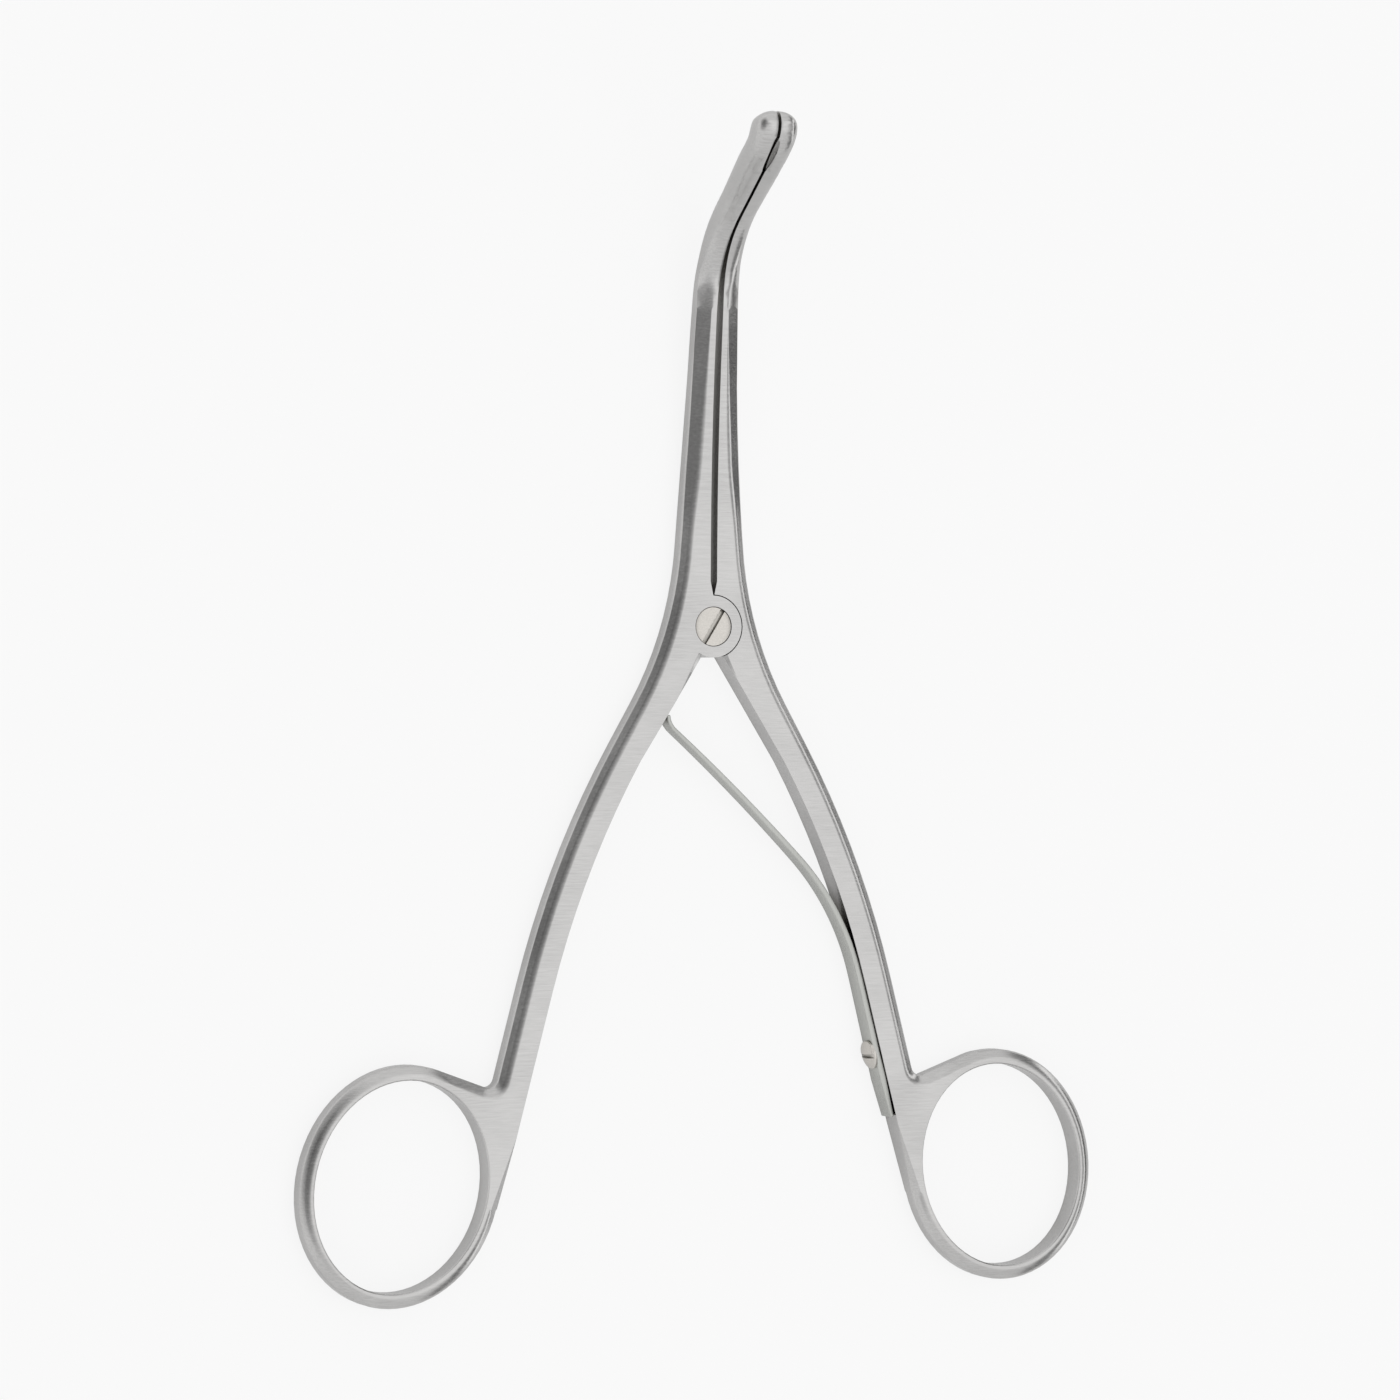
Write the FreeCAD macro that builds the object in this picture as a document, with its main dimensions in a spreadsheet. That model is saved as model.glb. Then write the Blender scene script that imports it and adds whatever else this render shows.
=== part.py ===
"""Tracheal dilator: two forged levers in a half-lap joint, a pivot screw, and a leaf spring
with its own screw. Squeezing the finger rings opens the two bent blades; the leaf spring
closes them again.

The instrument lies on its back. +X is to the right as seen from the front, +Y runs to the
blade tips, +Z is the front. The origin is on the pivot axis, at the levers' back faces.
"""
import FreeCAD, Part
import math
import os

import Sketcher

os.makedirs("parts", exist_ok=True)

V = FreeCAD.Vector
SAME = 1e-4
UP = V(0, 0, 1)
RIGHT = V(1, 0, 0)

# Driving sizes, in millimetres and degrees: alias, value, meaning
SIZES = [
    ("stock_thickness", 3.0, "thickness of both levers, front face to back face"),
    ("shank_width", 3.9, "width of a shank between its inner and outer walls"),
    ("bevel_width", 1.1, "outer bevel of a shank, measured across the face"),
    ("bevel_depth", 0.7, "outer bevel of a shank, measured down the wall"),
    ("root_height", 9.9, "height above the pivot where the blades begin"),
    ("root_half_width", 4.2, "midline to outer wall where the blades begin"),
    ("root_lean", 3.5, "lean of the outer wall where the blades begin, degrees"),
    ("flare_radius", 45.7, "radius of the flare from blade to shank"),
    ("splay", 30.0, "angle of a shank to the midline just below the joint, degrees"),
    ("upper_shank", 5.7, "straight run of a shank below the joint"),
    ("shank_radius", 113.0, "radius of the long curve of a shank"),
    ("shank_turn", 15.2, "how far the long curve turns back to the midline, degrees"),
    ("lower_shank", 26.4, "straight run of a shank to the middle of its ring"),
    ("crotch_depth", 1.45, "depth below the pivot where the inner walls of the shanks meet"),
    ("ring_hole_length", 25.0, "finger hole, along the shank"),
    ("ring_hole_width", 21.5, "finger hole, across the shank"),
    ("ring_wall", 1.75, "radial width of a finger ring"),
    ("ring_bevel_width", 0.95, "bevel round the outside of a ring, measured across the face"),
    ("ring_bevel_depth", 0.65, "bevel round the outside of a ring, measured down the wall"),
    ("hole_bevel", 0.15, "bevel round a finger hole"),
    ("ring_run_in", 9.0, "length over which a shank's inner edges are bevelled into its ring"),
    ("web_radius", 1.2, "radius of the concave corner between shank and ring"),
    ("web_tilt", 5.2, "tilt of the straight edge from that corner to the ring, degrees"),
    ("blade_gap", 0.85, "gap between the straight blades"),
    ("tip_gap", 0.4, "gap between the bent ends"),
    ("joint_gap", 0.12, "gap between the levers just above the joint"),
    ("slit_length", 1.7, "length over which the joint gap widens to the blade gap"),
    ("crotch_bevel_width", 0.9, "inner front bevel below the joint, across the face"),
    ("crotch_bevel_depth", 0.45, "inner front bevel below the joint, down the wall"),
    ("left_crotch_bevel", 9.0, "length of that bevel along the left shank"),
    ("right_crotch_bevel", 6.5, "length of that bevel along the right shank"),
    ("blade_length", 29.4, "length of a blade below its bend"),
    ("blade_rise_radius", 290.0, "radius of the gentle rise of a blade towards the front"),
    ("blade_end_half", 2.7, "midline to outer wall where the bend begins"),
    ("blade_bevel_width", 1.6, "outer bevel of a blade, measured across the face"),
    ("blade_bevel_depth", 0.8, "outer bevel of a blade, measured down the wall"),
    ("bevel_growth", 10.0, "height above the root over which the bevel widens to the blade's"),
    ("bend_radius", 14.5, "radius of the bend, on the middle of the blade's thickness"),
    ("bend_angle", 47.0, "turn of the bend towards the front, degrees"),
    ("bent_length", 11.2, "straight length above the bend"),
    ("nose_radius", 3.6, "radius of the last gentle turn of the tip"),
    ("nose_turn", 66.0, "how far the tip turns back, degrees"),
    ("neck_half_width", 2.45, "midline to outer wall above the bend"),
    ("bulb_half_width", 2.75, "midline to outer wall at the bulb near the tip"),
    ("bulb_bevel_width", 1.6, "rounding of the bent end's outer side, across the face"),
    ("bulb_bevel_depth", 1.3, "rounding of the bent end's outer side, down the wall"),
    ("bend_lead", 3.0, "how far below the bend the section starts to become round"),
    ("nose_round", 1.7, "length over which the tip closes"),
    ("groove_length", 7.0, "leaf-shaped groove where the inner edges are eased at the tip"),
    ("groove_width", 1.0, "widest part of that groove"),
    ("groove_depth", 0.7, "depth of that groove"),
    ("lobe_radius", 3.7, "radius of each half-lap disc"),
    ("lap_clearance", 0.06, "gap between the two half-lap faces"),
    ("side_clearance", 0.12, "gap round each half-lap disc"),
    ("head_radius", 2.35, "radius of the pivot screw's head"),
    ("head_depth", 0.75, "height of the pivot screw's head"),
    ("pin_radius", 1.3, "radius of the pivot screw's shank"),
    ("running_clearance", 0.04, "radial clearance of the turning lever on the screw"),
    ("seat_clearance", 0.02, "clearance where a fixed piece seats"),
    ("slot_width", 0.5, "width of the pivot screw's slot"),
    ("slot_depth", 0.4, "depth of the pivot screw's slot"),
    ("slot_angle", 32.0, "turn of the slot from the midline, degrees"),
    ("spring_foot", 16.5, "from the end of the long curve down to the end of the spring"),
    ("spring_follow", 1.0, "how far the spring follows the long curve, degrees"),
    ("spring_thickness", 0.9, "spring thickness at its foot"),
    ("spring_end_length", 4.6, "length over which the foot thins to its end"),
    ("spring_end_thickness", 0.45, "spring thickness at the very end of the foot"),
    ("spring_end_lift", 0.16, "how far the end of the foot stands off the shank"),
    ("spring_tip_thickness", 0.5, "spring thickness at its tip"),
    ("spring_width", 2.5, "spring width at its foot"),
    ("spring_tip_width", 2.0, "spring width at its tip"),
    ("spring_bend_radius", 32.0, "radius where the spring leaves the shank"),
    ("spring_bend", 28.9, "turn where the spring leaves the shank, degrees"),
    ("spring_arm_radius", 254.0, "radius of the nearly straight spring arm"),
    ("spring_curl_radius", 2.2, "radius of the curled spring tip"),
    ("spring_curl", 48.0, "turn of the curled spring tip, degrees"),
    ("spring_tip_clearance", 0.06, "gap between the spring's tip and the left shank"),
    ("spring_screw_place", 8.5, "from the end of the long curve down to the spring screw"),
    ("spring_screw_head_radius", 1.75, "radius of the spring screw's head"),
    ("spring_screw_head", 0.85, "height of the spring screw's head"),
    ("spring_screw_round", 0.3, "bevel round the spring screw's head"),
    ("spring_screw_pin", 0.8, "radius of the spring screw's shank"),
    ("spring_screw_grip", 2.2, "depth of the spring screw in the lever"),
    ("spring_screw_slot", 0.5, "width and depth of the spring screw's slot"),
    ("spring_screw_lift", 0.3, "height of the spring screw above the middle of the stock"),
]

doc = FreeCAD.newDocument("Dilator")
sheet = doc.addObject("Spreadsheet::Sheet", "Sizes")
for row, (alias, value, meaning) in enumerate(SIZES, start=1):
    sheet.set(f"A{row}", meaning)
    sheet.set(f"B{row}", str(value))
    sheet.setAlias(f"B{row}", alias)
doc.recompute()


def size(alias):
    """One driving size from the sheet."""
    return float(sheet.get(alias))


def add(kind, name, sizes=None, **properties):
    """A document object: its sizes are expressions on the sheet, the rest plain properties."""
    made = doc.addObject(kind, name)
    for key, value in properties.items():
        setattr(made, key, value)
    for key, expression in (sizes or {}).items():
        made.setExpression(key, expression)
    return made


def feature(name, shape):
    """A document object that holds a shape worked out here."""
    made = doc.addObject("Part::Feature", name)
    made.Shape = shape
    return made


def blend(low, high, share):
    """A value that eases from low to high as share goes from 0 to 1."""
    share = min(max(share, 0.0), 1.0)
    return low + (high - low) * share * share * (3 - 2 * share)


class Route:
    """A flat path of straight runs and arcs, each smooth with the one before."""

    def __init__(self, x, y, heading):
        self.spans = []
        self.end = (V(x, y, 0), math.radians(heading))

    def run(self, length, curvature=0.0):
        """Goes on for a length; a positive curvature turns left."""
        self.spans.append((self.end[0], self.end[1], length, curvature))
        self.end = self.step(self.spans[-1], length)

    def turn(self, radius, angle):
        """Goes round an arc; a positive angle turns left."""
        self.run(radius * abs(math.radians(angle)), math.copysign(1 / radius, angle))

    @property
    def length(self):
        return sum(span[2] for span in self.spans)

    @staticmethod
    def step(span, distance):
        """Point and heading at a distance along one span."""
        start, heading, _, curvature = span
        if curvature == 0:
            return start + V(math.cos(heading), math.sin(heading), 0) * distance, heading
        turned = heading + curvature * distance
        ahead = V(math.sin(turned) - math.sin(heading), math.cos(heading) - math.cos(turned), 0)
        return start + ahead / curvature, turned

    def at(self, distance, offset=0.0):
        """Point and left-hand normal at a distance, moved to the left by offset."""
        for span in self.spans:
            if distance <= span[2] or span is self.spans[-1]:
                break
            distance -= span[2]
        point, heading = self.step(span, distance)
        left = V(-math.sin(heading), math.cos(heading), 0)
        return point + left * offset, left

    def flank(self, offset, first=0):
        """Edges beside the path, from one of its spans to the end."""
        edges = []
        travelled = sum(span[2] for span in self.spans[:first])
        for span in self.spans[first:]:
            stops = [self.at(travelled + span[2] * share, offset)[0] for share in (1e-9, 0.5, 1)]
            if span[3] == 0:
                edges.append(Part.LineSegment(stops[0], stops[2]).toShape())
            else:
                edges.append(Part.Arc(*stops).toShape())
            travelled += span[2]
        return edges


def lines(*points):
    """Straight edges from point to point."""
    return [Part.LineSegment(a, b).toShape() for a, b in zip(points, points[1:])]


def flat_face(edges):
    """The face inside a loop of edges given in any order."""
    return Part.Face(Part.Wire(Part.__sortEdges__(edges)))


def extrude(name, plan, height="Sizes.stock_thickness"):
    """A flat outline in the rest plane, given a height."""
    return add("Part::Extrusion", name, {"LengthFwd": height}, Base=plan, DirMode="Custom",
               Dir=UP, Solid=True)


def chamfer(name, base, down, across, chosen):
    """A base with the chosen edges bevelled: down the wall, then across the face."""
    doc.recompute()
    picked = [(index, down, across) for index, edge in enumerate(base.Shape.Edges, start=1)
              if chosen(edge)]
    return add("Part::Chamfer", name, Base=base, Edges=picked)


def on_a_face(edge):
    """Whether an edge lies in the levers' front or back faces."""
    box = edge.BoundBox
    if box.ZLength > SAME:
        return False
    return abs(box.ZMin) < SAME or abs(box.ZMin - size("stock_thickness")) < SAME


def near_edges(outline):
    """A test for edges that run along one of the outline's edges."""
    def chosen(edge):
        if not on_a_face(edge):
            return False
        middle = edge.valueAt((edge.FirstParameter + edge.LastParameter) / 2)
        spot = Part.Vertex(V(middle.x, middle.y, 0))
        return any(spot.distToShape(line)[0] < SAME for line in outline)
    return chosen


def growing_bevel(name, base, start, end, bevel):
    """A base with an edge bevelled: from nothing at start to (inwards, down) at end."""
    inwards, down = bevel
    along = end - start
    over_face = along + inwards
    outward = over_face.cross(along + down).normalize()
    if outward.dot(along) < 0:
        outward = outward * -1
    sideways = outward.cross(over_face).normalize()
    room = inwards.Length + down.Length
    tool = add("Part::Box", name + "_tool", Length=over_face.Length + room, Width=room * 4,
               Height=room * 2)
    tool.Placement = FreeCAD.Placement(
        start - sideways * room * 2, FreeCAD.Rotation(over_face, sideways, outward, "ZXY"))
    return add("Part::Cut", name, Base=base, Tool=tool)


# Finger ring: an ellipse that continues the inner wall of the shank. Its own points are given
# from its middle, first along the shank towards the ring's end, then across to the outside

outer_length = size("ring_hole_length") / 2 + size("ring_wall")
outer_width = size("ring_hole_width") / 2 + size("ring_wall")
web_tilt = math.radians(size("web_tilt"))
web_normal = V(-math.cos(web_tilt), -math.sin(web_tilt), 0)
web_reach = math.hypot(outer_length * web_normal.x, outer_width * web_normal.y)
web_touch = V(outer_length ** 2 * web_normal.x, outer_width ** 2 * web_normal.y, 0) / web_reach
corner_across = size("shank_width") - outer_width + size("web_radius")
corner_along = (web_reach + size("web_radius") - web_normal.y * corner_across) / web_normal.x
corner_middle = V(corner_along, corner_across, 0)

# Handle of the right lever: one line down the middle of the stock gives both walls

half_shank = size("shank_width") / 2
half_gap = size("blade_gap") / 2
handle = Route(size("root_half_width") - half_shank, size("root_height"),
               size("root_lean") - 90)
handle.turn(size("flare_radius"), size("splay") - size("root_lean"))
handle.run(size("upper_shank"))
long_curve_start = handle.length
handle.turn(size("shank_radius"), -size("shank_turn"))
long_curve_end = handle.length
handle.run(size("lower_shank") + corner_along)
handle.run(-corner_along)

tail_end, ring_across = handle.at(handle.length)
ring_along = ring_across.cross(UP)
ring_centre = tail_end + ring_across * (outer_width - half_shank)
ring_turn = FreeCAD.Rotation(RIGHT, ring_along)


def from_ring(spot):
    """A point given in (along, across) from the ring's centre, in the part's frame."""
    return ring_centre + ring_along * spot.x + ring_across * spot.y


seam_inset = (size("ring_wall") - size("bevel_width") + size("hole_bevel")) / 2
seam_length = size("ring_hole_length") / 2 + seam_inset
seam_width = size("ring_hole_width") / 2 + seam_inset
seam_start = math.atan2(web_touch.y / outer_width, web_touch.x / outer_length) + 2 * math.pi
seam_end = 1.5 * math.pi
seam = Part.Ellipse(from_ring(V(seam_length, 0, 0)), from_ring(V(0, seam_width, 0)),
                    ring_centre).toShape(seam_start, seam_end)
in_ring = from_ring(V(seam_length * math.cos(seam_start), seam_width * math.sin(seam_start), 0))

on_ring = from_ring(web_touch)
on_shank = from_ring(corner_middle - V(0, size("web_radius"), 0))
on_web = from_ring(corner_middle - web_normal * size("web_radius"))
into_corner = (V(0, -1, 0) - web_normal).normalize()
in_corner = from_ring(corner_middle + into_corner * size("web_radius"))
web = [Part.Arc(on_shank, in_corner, on_web).toShape()] + lines(on_web, on_ring)

outer_wall = handle.flank(half_shank)[:-1] + web
inner_wall = handle.flank(-half_shank, first=2)
root_outer, root_across = handle.at(0, half_shank)
root_width = (root_outer.x - half_gap) / root_across.x
root_inner = root_outer - root_across * root_width
tail_inner = handle.at(handle.length, -half_shank)[0]
crotch = V(size("joint_gap") / 2, -size("crotch_depth"), 0)
slit_foot = V(size("joint_gap") / 2, size("lobe_radius"), 0)
slit_top = V(half_gap, size("lobe_radius") + size("slit_length"), 0)
shank_start = handle.at(long_curve_start, -half_shank)[0]
joint_lines = lines(root_outer, root_inner, slit_top, slit_foot, crotch, shank_start)
handle_plan = feature("handle_plan", flat_face(
    outer_wall + inner_wall + joint_lines + [seam]
    + lines(on_ring, in_ring) + lines(from_ring(V(0, -seam_width, 0)), tail_inner)))
handle_stock = chamfer("handle_stock", extrude("handle_plate", handle_plan),
                       size("bevel_depth"), size("bevel_width"), near_edges(outer_wall))

# The inner edges run out into the ring's bevel at the tail, and are eased below the joint

run_in_start = handle.at(handle.length - size("ring_run_in"), -half_shank)[0]
crotch_run = (shank_start - crotch).normalize()
crotch_across = UP.cross(crotch_run)
front = UP * size("stock_thickness")
for level, inside in ((V(0, 0, 0), UP), (front, UP * -1)):
    handle_stock = growing_bevel(
        "handle_run_in", handle_stock, run_in_start + level, tail_inner + level,
        (ring_across * size("ring_bevel_width"), inside * size("ring_bevel_depth")))
right_handle, unmirrored_left_handle = [
    growing_bevel(length, handle_stock, crotch + crotch_run * size(length) + front, crotch + front,
                  (crotch_across * size("crotch_bevel_width"), UP * -size("crotch_bevel_depth")))
    for length in ("right_crotch_bevel", "left_crotch_bevel")]

# Blade: lofted from the handle's own section at the root to the closed tip


def bar_section(origin, across, through, near, far, thickness, bevel, roundness):
    """A flat bar's section: square on the inner side, bevelled or rounded on the outer one."""
    wide, deep = bevel
    half = thickness / 2

    def spot(x, height):
        return origin + across * x + through * height

    def shoulder(start, corner, end):
        pull = (start + end) * 0.5 * (1 - roundness) + corner * roundness
        curve = Part.BezierCurve()
        curve.setPoles([start, pull, end])
        return curve.toShape()

    front = [spot(near, half), spot(far - wide, half), spot(far, half - deep)]
    back = [spot(far, deep - half), spot(far - wide, -half), spot(near, -half)]
    return Part.Wire([
        Part.LineSegment(front[0], front[1]).toShape(),
        shoulder(front[1], spot(far, half), front[2]),
        Part.LineSegment(front[2], back[0]).toShape(),
        shoulder(back[0], spot(far, -half), back[1]),
        Part.LineSegment(back[1], back[2]).toShape(),
        Part.LineSegment(back[2], front[0]).toShape()])


blade = Route(size("root_height"), size("stock_thickness") / 2, 0)
blade.run(size("blade_length"), 1 / size("blade_rise_radius"))
bend_start = blade.length
blade.turn(size("bend_radius"), size("bend_angle"))
bend_end = blade.length
blade.run(size("bent_length"))
blade.turn(size("nose_radius"), -size("nose_turn"))
nose_start = blade.length - size("nose_round")
bulb_centre = (blade.length + bend_end) / 2 + size("nose_round")


def blade_half_width(distance):
    """Midline to outer wall, at a distance above the root."""
    if distance < bend_start:
        left_over = (1 - distance / bend_start) ** 1.35
        taper = size("root_half_width") - size("blade_end_half")
        return size("blade_end_half") + taper * left_over
    if distance < bend_end:
        share = (distance - bend_start) / (bend_end - bend_start)
        return blend(size("blade_end_half"), size("neck_half_width"), share)
    share = (distance - bend_end) / (bulb_centre - bend_end)
    return blend(size("neck_half_width"), size("bulb_half_width"), share)


def blade_section(distance):
    """The blade's section at a distance above the root."""
    place, through = blade.at(distance)
    origin = V(0, place.x, place.y)
    across_depth = V(0, through.x, through.y)
    bend_share = (distance - bend_start + size("bend_lead")) / (bend_end - bend_start)
    near = blend(size("blade_gap"), size("tip_gap"), bend_share) / 2
    far = blade_half_width(distance)
    grown = distance / size("bevel_growth")
    wide = blend(size("bevel_width"), size("blade_bevel_width"), grown)
    deep = blend(size("bevel_depth"), size("blade_bevel_depth"), grown)
    deep = blend(deep, size("bulb_bevel_depth"), bend_share)
    wide = min(blend(wide, size("bulb_bevel_width"), bend_share), (far - near) * 0.8)
    closing = max(0.0, (distance - nose_start) / size("nose_round"))
    scale = math.sqrt(1 - min(closing, 0.985) ** 2)
    far = near + (far - near) * scale
    return bar_section(origin, RIGHT, across_depth, near, far, size("stock_thickness") * scale,
                       (wide * scale, deep * scale), blend(0, 0.9, bend_share))


root_section = bar_section(V(root_inner.x, root_inner.y, size("stock_thickness") / 2),
                           root_across, UP, 0, root_width, size("stock_thickness"),
                           (size("bevel_width"), size("bevel_depth")), 0)
stations = 22
step = (nose_start - size("root_height") / 4) / stations
distances = [size("root_height") / 4 + step * index for index in range(stations + 1)]
distances += [nose_start + size("nose_round") * share for share in (0.4, 0.7, 0.88, 0.97, 1)]
blade_loft = feature("blade_loft", Part.makeLoft(
    [root_section] + [blade_section(distance) for distance in distances], True, False))

# Finger ring: an oval plate with its outside bevelled, and the finger hole through it


def oval(name, wall, height):
    """An ellipse round the finger hole, at a wall's width from it and at a height."""
    return add("Part::Ellipse", name, {"MajorRadius": f"Sizes.ring_hole_length / 2 + {wall}",
                                       "MinorRadius": f"Sizes.ring_hole_width / 2 + {wall}",
                                       ".Placement.Base.z": height},
               Placement=FreeCAD.Placement(ring_centre, ring_turn))


oval_plate = add("Part::Loft", "oval_plate", Solid=True, Ruled=True, Sections=[
    oval("plate_back", "Sizes.ring_wall - Sizes.ring_bevel_width", "0"),
    oval("plate_back_edge", "Sizes.ring_wall", "Sizes.ring_bevel_depth"),
    oval("plate_front_edge", "Sizes.ring_wall", "Sizes.stock_thickness - Sizes.ring_bevel_depth"),
    oval("plate_front", "Sizes.ring_wall - Sizes.ring_bevel_width", "Sizes.stock_thickness")])
hole_tool = add("Part::Loft", "hole_tool", Solid=True, Ruled=True, Sections=[
    oval("hole_below", "Sizes.hole_bevel * 2", "0 - Sizes.hole_bevel"),
    oval("hole_back", "0", "Sizes.hole_bevel"),
    oval("hole_front", "0", "Sizes.stock_thickness - Sizes.hole_bevel"),
    oval("hole_above", "Sizes.hole_bevel * 2", "Sizes.stock_thickness + Sizes.hole_bevel")])
ring_stock = add("Part::Cut", "ring_stock", Base=oval_plate, Tool=hole_tool)

# Leaf-shaped groove at the tips, where the inner front edges of both blades are eased

groove_place, groove_through = blade.at(nose_start - size("groove_length") / 3,
                                        size("stock_thickness") / 2)
groove = add("Part::Ellipsoid", "groove",
             {"Radius1": "Sizes.groove_depth", "Radius2": "Sizes.groove_width / 2",
              "Radius3": "Sizes.groove_length / 2"})
groove.Placement = FreeCAD.Placement(
    V(0, groove_place.x, groove_place.y),
    FreeCAD.Rotation(UP, V(0, groove_through.x, groove_through.y)))

# Both levers start from the same forged parts, mirrored for the left one


def mirrored(source):
    """A part's mirror image across the midline."""
    return add("Part::Mirroring", source.Name + "_left", Source=source, Normal=RIGHT)


right_blade = add("Part::Cut", "blade", Base=blade_loft, Tool=groove)
left_handle, left_ring, left_blade = [
    mirrored(piece) for piece in (unmirrored_left_handle, ring_stock, right_blade)]

# Half-lap joint: each lever keeps a disc of half thickness and is relieved round the other


def pivot_cylinder(name, radius, low, high):
    """A cylinder on the pivot axis between two heights, all of them expressions."""
    return add("Part::Cylinder", name, {"Radius": radius, "Height": f"({high}) - ({low})",
                                        ".Placement.Base.z": low})


thickness = "Sizes.stock_thickness"
above = f"{thickness} * 2"
below = f"0 - {thickness}"
front_floor = "(Sizes.stock_thickness + Sizes.lap_clearance) / 2"
back_floor = "(Sizes.stock_thickness - Sizes.lap_clearance) / 2"
relief = "Sizes.lobe_radius + Sizes.side_clearance"
turning_radius = "Sizes.pin_radius + Sizes.running_clearance"

right_relief = pivot_cylinder("right_relief", relief, back_floor, above)
right_disc = pivot_cylinder("right_disc", "Sizes.lobe_radius", "0", back_floor)
left_relief = pivot_cylinder("left_relief", relief, below, front_floor)
left_disc = pivot_cylinder("left_disc", "Sizes.lobe_radius", front_floor, thickness)
thread_bore = pivot_cylinder("thread_bore", "Sizes.pin_radius + Sizes.seat_clearance",
                             below, above)
turning_bore = pivot_cylinder("turning_bore", turning_radius, below, above)
head_seat = pivot_cylinder("head_seat", "Sizes.head_radius + Sizes.running_clearance",
                           f"{thickness} - Sizes.head_depth - Sizes.running_clearance", above)

# Spring screw's place: square to the shank's inner wall, a little way above the ring

screw_spot, wall_out = handle.at(long_curve_end + size("spring_screw_place"), -half_shank)
screw_spot = screw_spot + UP * (size("stock_thickness") / 2 + size("spring_screw_lift"))


def screw_cylinder(name, radius, outside, inside):
    """A hole on the spring screw's axis, from outside the wall to inside the lever."""
    return add("Part::Cylinder", name, {"Radius": radius}, Height=outside + inside,
               Placement=FreeCAD.Placement(screw_spot - wall_out * outside,
                                           FreeCAD.Rotation(UP, wall_out)))


screw_bore = screw_cylinder("screw_bore", "Sizes.spring_screw_pin + Sizes.seat_clearance",
                            size("stock_thickness"),
                            size("spring_screw_grip") + size("seat_clearance"))
foot_bore = screw_cylinder("foot_bore", "Sizes.spring_screw_pin + Sizes.running_clearance",
                           size("stock_thickness"), size("seat_clearance"))


def half_lapped(name, handle_part, relief_tool, disc, bores, others):
    """A lever: its handle relieved, given its disc and bored, then joined to its other parts."""
    relieved = add("Part::Cut", name + "_relieved", Base=handle_part, Tool=relief_tool)
    with_disc = add("Part::Fuse", name + "_with_disc", Base=relieved, Tool=disc)
    for number, bore in enumerate(bores):
        with_disc = add("Part::Cut", f"{name}_bored_{number}", Base=with_disc, Tool=bore)
    return add("Part::MultiFuse", name, Shapes=[with_disc] + others)


right_lever = half_lapped("right_lever", right_handle, right_relief, right_disc,
                          [thread_bore, screw_bore], [right_blade, ring_stock])
left_lever = half_lapped("left_lever", left_handle, left_relief, left_disc,
                         [turning_bore, head_seat], [left_blade, left_ring])

# Leaf spring: it lies on the inner wall of the right shank, leaves it, and crosses to the left

seat = half_shank + size("seat_clearance")
foot_end, foot_across = handle.at(long_curve_end + size("spring_foot"), -seat)
foot_heading = math.degrees(math.atan2(foot_across.y, foot_across.x)) + 90
left_wall_start = V(-crotch.x, crotch.y, 0)
left_wall_run = (V(-shank_start.x, shank_start.y, 0) - left_wall_start).normalize()
off_left_wall = UP.cross(left_wall_run)


def spring_route(arm):
    """The side of the spring that lies on the shank, from foot to tip, for a length of arm."""
    route = Route(foot_end.x, foot_end.y, foot_heading)
    route.run(size("spring_foot"))
    route.turn(size("shank_radius") - seat, size("spring_follow"))
    route.turn(size("spring_bend_radius"), size("spring_bend"))
    route.run(arm, 1 / size("spring_arm_radius"))
    route.turn(size("spring_curl_radius"), -size("spring_curl"))
    return route


def bearing_spring():
    """The spring with the length of arm that brings its tip to the left shank."""
    short, long = 1.0, 2 * handle.length
    for _ in range(60):
        arm = (short + long) / 2
        route = spring_route(arm)
        tip = route.at(route.length, size("spring_tip_thickness"))[0]
        if (tip - left_wall_start).dot(off_left_wall) > size("spring_tip_clearance"):
            short = arm
        else:
            long = arm
    return spring_route(short)


spring = bearing_spring()


def spring_section(share):
    """The spring's section at a share of its length: thinner and narrower towards the tip."""
    foot_thick, foot_wide = size("spring_thickness"), size("spring_width")
    thick = foot_thick + (size("spring_tip_thickness") - foot_thick) * share
    wide = foot_wide + (size("spring_tip_width") - foot_wide) * share
    place, left = spring.at(spring.length * share)
    ending = max(0.0, 1 - spring.length * share / size("spring_end_length"))
    thick += (size("spring_end_thickness") - thick) * ending
    place = place + UP * (size("stock_thickness") / 2) + left * size("spring_end_lift") * ending
    corners = ((0, -wide / 2), (thick, -wide / 2), (thick, wide / 2), (0, wide / 2))
    points = [place + left * across + UP * height for across, height in corners]
    return Part.makePolygon(points + points[:1])


SPRING_STATIONS = 40
spring_strip = feature("spring_strip", Part.makeLoft(
    [spring_section(index / SPRING_STATIONS) for index in range(SPRING_STATIONS + 1)],
    True, False))
leaf_spring = add("Part::Cut", "leaf_spring", Base=spring_strip, Tool=foot_bore)

# Screws: bodies turned from half an outline, with a slot across the head


def dimensioned(sketch, points):
    """Closes a sketch through points given as pairs of expressions, and binds them."""
    count = len(points)
    for index in range(count):
        start = V(index, index * index, 0)
        end = V((index + 1) % count, ((index + 1) % count) ** 2, 0)
        sketch.addGeometry(Part.LineSegment(start, end))
    for index in range(count):
        sketch.addConstraint(Sketcher.Constraint("Coincident", index, 2, (index + 1) % count, 1))
    for index, place in enumerate(points):
        for kind, axis, expression in zip(("DistanceX", "DistanceY"), (-2, -1), place):
            if expression == "0":
                sketch.addConstraint(Sketcher.Constraint("PointOnObject", index, 1, axis))
                continue
            number = sketch.addConstraint(Sketcher.Constraint(kind, -1, 1, index, 1, 1.0))
            sketch.setExpression(f"Constraints[{number}]", expression)


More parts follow.
